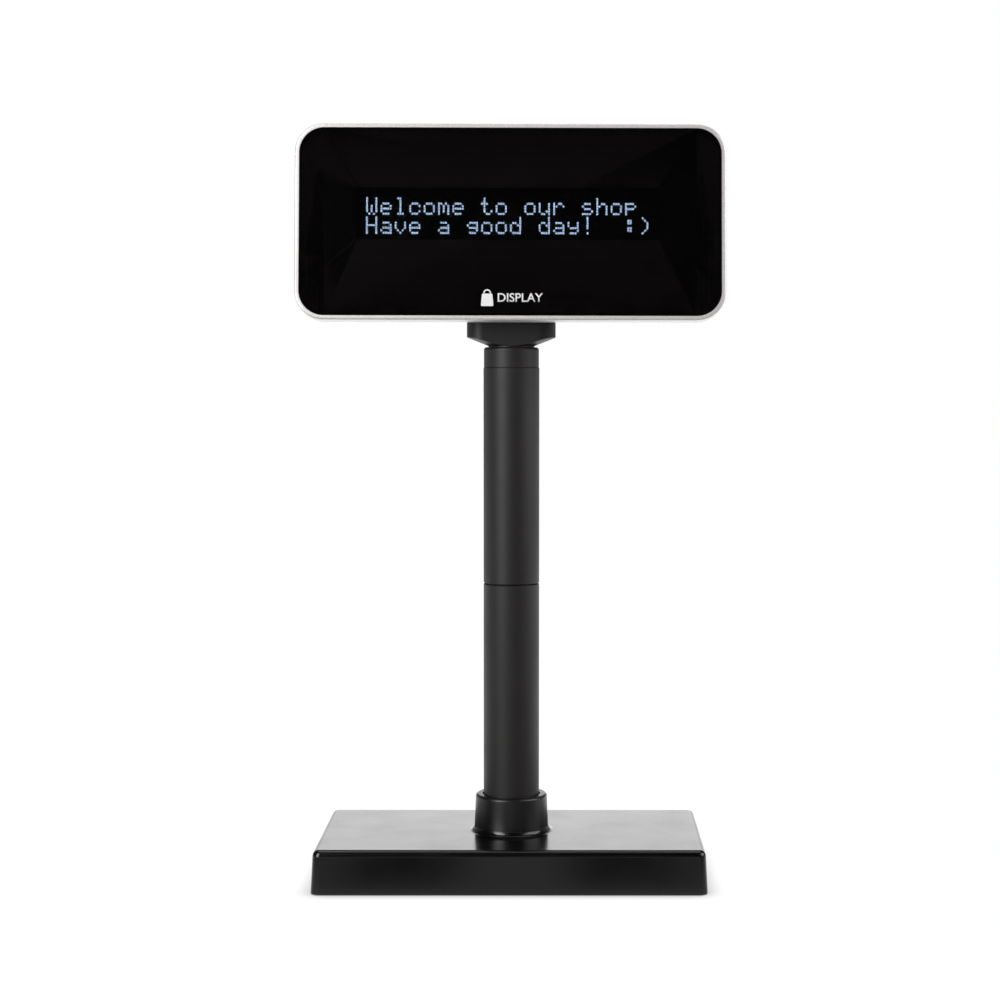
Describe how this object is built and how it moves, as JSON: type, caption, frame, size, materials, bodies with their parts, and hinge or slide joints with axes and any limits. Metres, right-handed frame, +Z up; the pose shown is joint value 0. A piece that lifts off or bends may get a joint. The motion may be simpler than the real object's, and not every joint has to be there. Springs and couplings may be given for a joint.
{
  "type": "customer pole display",
  "caption": "Two-line character display in a wide rounded head that tilts and pans on a round pole, on a weighted rectangular base.",
  "frame": {"origin": "on the surface it stands on, under the pole's axis, at the centre of the base", "axes": "+Z up along the pole, -Y towards the customer, who reads the display; +X to that reader's right"},
  "size_m": [0.226, 0.105, 0.4017],
  "materials": {
    "satin_abs": "moulded black ABS, semi-gloss",
    "pole_abs": "extruded black ABS, satin with a fine grain",
    "matte_abs": "moulded black ABS, matt",
    "silver_paint": "silver paint on a moulded frame",
    "smoked_lens": "smoked acrylic, polished",
    "mask_ink": "black screen-printed ink",
    "gasket_foam": "closed-cell foam",
    "tube_glass": "clear soda-lime glass",
    "tube_back": "printed dark glass",
    "phosphor": "printed phosphor",
    "circuit_board": "green solder mask on glass-fibre board",
    "chip_epoxy": "moulded epoxy",
    "capacitor_sleeve": "shrunk sleeve on an aluminium can",
    "coil_ferrite": "sintered ferrite",
    "white_nylon": "natural nylon",
    "black_acetal": "turned black acetal",
    "contact_brass": "gold-flashed spring wire",
    "nickel_metal": "nickel plate",
    "screw_steel": "blackened zinc-plated steel",
    "zinc_steel": "zinc-plated pressed steel",
    "ballast_iron": "blackened mild-steel plate",
    "foot_rubber": "moulded rubber",
    "cable_jacket": "PVC jacket"
  },
  "bodies": {
    "stand": {"base_cover": "satin_abs", "base_plate": "matte_abs", "base_screws": "screw_steel", "rubber_feet": "foot_rubber", "ballast_plate": "ballast_iron", "ballast_screws": "screw_steel", "interface_board": "circuit_board", "interface_screws": "screw_steel", "data_socket": "matte_abs", "socket_contacts": "contact_brass", "power_jack": "matte_abs", "power_pin": "nickel_metal", "interface_header": "white_nylon", "pole_flange": "zinc_steel", "flange_screws": "screw_steel", "lower_tube": "pole_abs", "upper_tube": "pole_abs", "tube_coupler": "matte_abs", "pole_top_collar": "pole_abs", "thrust_washer": "black_acetal", "signal_cable": "cable_jacket"},
    "swivel": {"swivel_neck": "pole_abs", "wave_washer": "zinc_steel", "swivel_clip": "screw_steel", "neck_cable": "cable_jacket"},
    "head": {"bezel_frame": "silver_paint", "front_lens": "smoked_lens", "lens_mask": "mask_ink", "lens_gasket": "gasket_foam", "rear_cover": "satin_abs", "cover_screws": "screw_steel", "vfd_front_glass": "tube_glass", "vfd_side_walls": "tube_glass", "vfd_back_glass": "tube_back", "vfd_anodes": "phosphor", "vfd_leads": "nickel_metal", "foam_pads": "gasket_foam", "driver_board": "circuit_board", "board_screws": "screw_steel", "driver_chips": "chip_epoxy", "capacitors": "capacitor_sleeve", "power_coil": "coil_ferrite", "cable_header": "white_nylon", "head_cable": "cable_jacket", "tilt_bracket": "zinc_steel", "bracket_screws": "screw_steel", "tilt_screws": "screw_steel", "tilt_washers": "white_nylon", "tilt_nuts": "screw_steel"}
  },
  "joints": [
    {"name": "pan", "type": "hinge", "parent": "stand", "child": "swivel", "pos_m": [0, 0, 0.2849], "axis": [0, 0, 1], "range_deg": [-135, 135]},
    {"name": "tilt", "type": "hinge", "parent": "swivel", "child": "head", "pos_m": [0, 0, 0.313], "axis": [-1, 0, 0], "range_deg": [-6, 24]}
  ]
}
